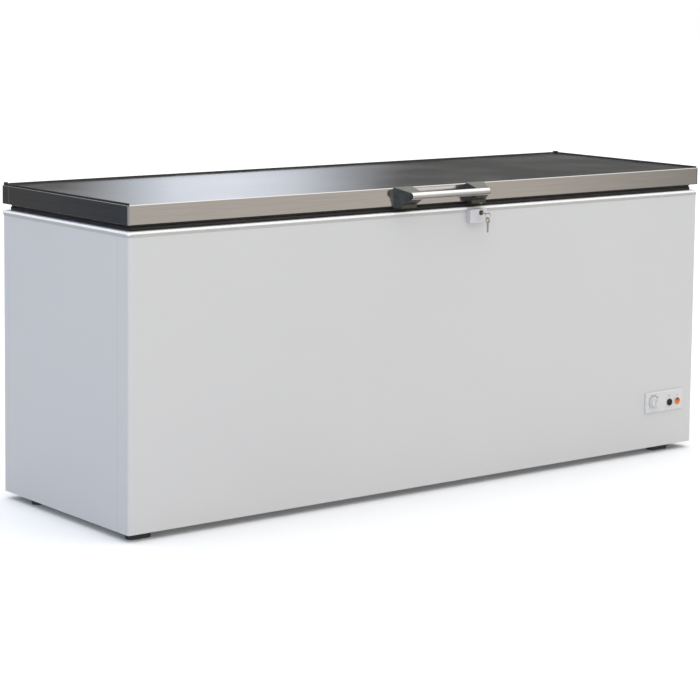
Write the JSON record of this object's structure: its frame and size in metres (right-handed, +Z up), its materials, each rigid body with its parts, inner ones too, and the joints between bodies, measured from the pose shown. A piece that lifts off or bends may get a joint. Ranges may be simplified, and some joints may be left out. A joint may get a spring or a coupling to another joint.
{
  "type": "chest freezer",
  "caption": "Long white chest freezer with a brushed stainless lid, bar handle, key lock, dial, push button and lamp, on low feet, with hanging wire baskets inside.",
  "frame": {"origin": "on the floor, under the middle of the whole object's bounding box, handle and hinges included", "axes": "+X to the freezer's right as its user faces it, +Y to its back, +Z up; the front faces -Y"},
  "size_m": [2.074, 0.718, 0.8815],
  "materials": {
    "casing_white": "satin",
    "zinc_steel": "satin",
    "fastener_steel": "polished",
    "rim_white": "gloss",
    "liner_aluminium": "satin",
    "foam": "matte",
    "copper": "satin",
    "compressor_black": "satin",
    "dark_rubber": "matte",
    "gasket_rubber": "matte",
    "white_plastic": "satin",
    "lid_liner_white": "satin",
    "black_plastic": "satin",
    "lamp_orange": "gloss",
    "stainless": "satin",
    "handle_metal": "satin",
    "lock_metal": "polished",
    "basket_wire": "satin"
  },
  "bodies": {
    "cabinet": {"front_panel": "casing_white", "left_side_panel": "casing_white", "right_side_panel": "casing_white", "rear_panel": "casing_white", "rear_cover": "casing_white", "base_pan": "zinc_steel", "compressor_base": "zinc_steel", "hinge_base_left": "zinc_steel", "hinge_base_middle": "zinc_steel", "hinge_base_right": "zinc_steel", "hinge_pins": "fastener_steel", "hinge_springs": "fastener_steel", "cabinet_screws": "fastener_steel", "mount_bolts": "fastener_steel", "rim_collar": "rim_white", "inner_liner": "liner_aluminium", "insulation_foam": "foam", "evaporator_coil": "copper", "condenser_coil": "copper", "refrigerant_pipes": "copper", "filter_drier": "copper", "compressor": "compressor_black", "foot_front_left": "dark_rubber", "foot_front_right": "dark_rubber", "foot_rear_left": "dark_rubber", "foot_rear_right": "dark_rubber", "compressor_mounts": "dark_rubber", "mains_gland": "dark_rubber", "control_bezel": "white_plastic", "lock_housing": "white_plastic", "drain_tube": "white_plastic", "drain_cap": "white_plastic", "switch_body": "black_plastic", "thermostat_body": "black_plastic", "relay_cover": "black_plastic", "indicator_lamp": "lamp_orange"},
    "lid": {"lid_skin": "stainless", "lid_trim": "black_plastic", "lid_foam": "foam", "lid_liner": "lid_liner_white", "lid_gasket": "gasket_rubber", "handle_bar": "handle_metal", "handle_bracket_left": "handle_metal", "handle_bracket_right": "handle_metal", "lock_striker": "lock_metal", "hinge_arm_left": "zinc_steel", "hinge_arm_middle": "zinc_steel", "hinge_arm_right": "zinc_steel", "lid_screws": "fastener_steel"},
    "lock": {"lock_cylinder": "lock_metal", "lock_cam": "lock_metal", "key": "lock_metal"},
    "key_ring": {"key_ring": "lock_metal", "spare_key": "lock_metal"},
    "thermostat_knob": {"thermostat_knob": "white_plastic"},
    "fast_freeze_button": {"fast_freeze_button": "black_plastic"},
    "drain_stopper": {"drain_stopper": "dark_rubber"},
    "basket_left": {"basket_left": "basket_wire"},
    "basket_right": {"basket_right": "basket_wire"}
  },
  "joints": [
    {"name": "lid_hinge", "type": "hinge", "parent": "cabinet", "child": "lid", "pos_m": [0, 0.351, 0.812], "axis": [-1, 0, 0], "range_deg": [0, 85], "stiffness_Nm_per_rad": 15, "springref_deg": 91.67},
    {"name": "lock_turn", "type": "hinge", "parent": "cabinet", "child": "lock", "pos_m": [0.138, -0.299, 0.7886], "axis": [0, 1, 0], "range_deg": [0, 90]},
    {"name": "key_ring_swing", "type": "hinge", "parent": "cabinet", "child": "key_ring", "pos_m": [0.138, -0.337, 0.7886], "axis": [1, 0, 0], "range_deg": [-20, 20]},
    {"name": "thermostat_turn", "type": "hinge", "parent": "cabinet", "child": "thermostat_knob", "pos_m": [0.863, -0.299, 0.16], "axis": [0, 1, 0], "range_deg": [0, 270]},
    {"name": "fast_freeze_press", "type": "slide", "parent": "cabinet", "child": "fast_freeze_button", "axis": [0, 1, 0], "range_m": [0, 0.0025], "stiffness_N_per_m": 800},
    {"name": "basket_left_slide", "type": "slide", "parent": "cabinet", "child": "basket_left", "axis": [1, 0, 0], "range_m": [-0.4, 0.08]},
    {"name": "basket_right_slide", "type": "slide", "parent": "cabinet", "child": "basket_right", "axis": [1, 0, 0], "range_m": [-0.08, 0.4]},
    {"name": "drain_stopper_lift", "type": "slide", "parent": "cabinet", "child": "drain_stopper", "axis": [0, 0, 1], "range_m": [0, 0.03]}
  ]
}
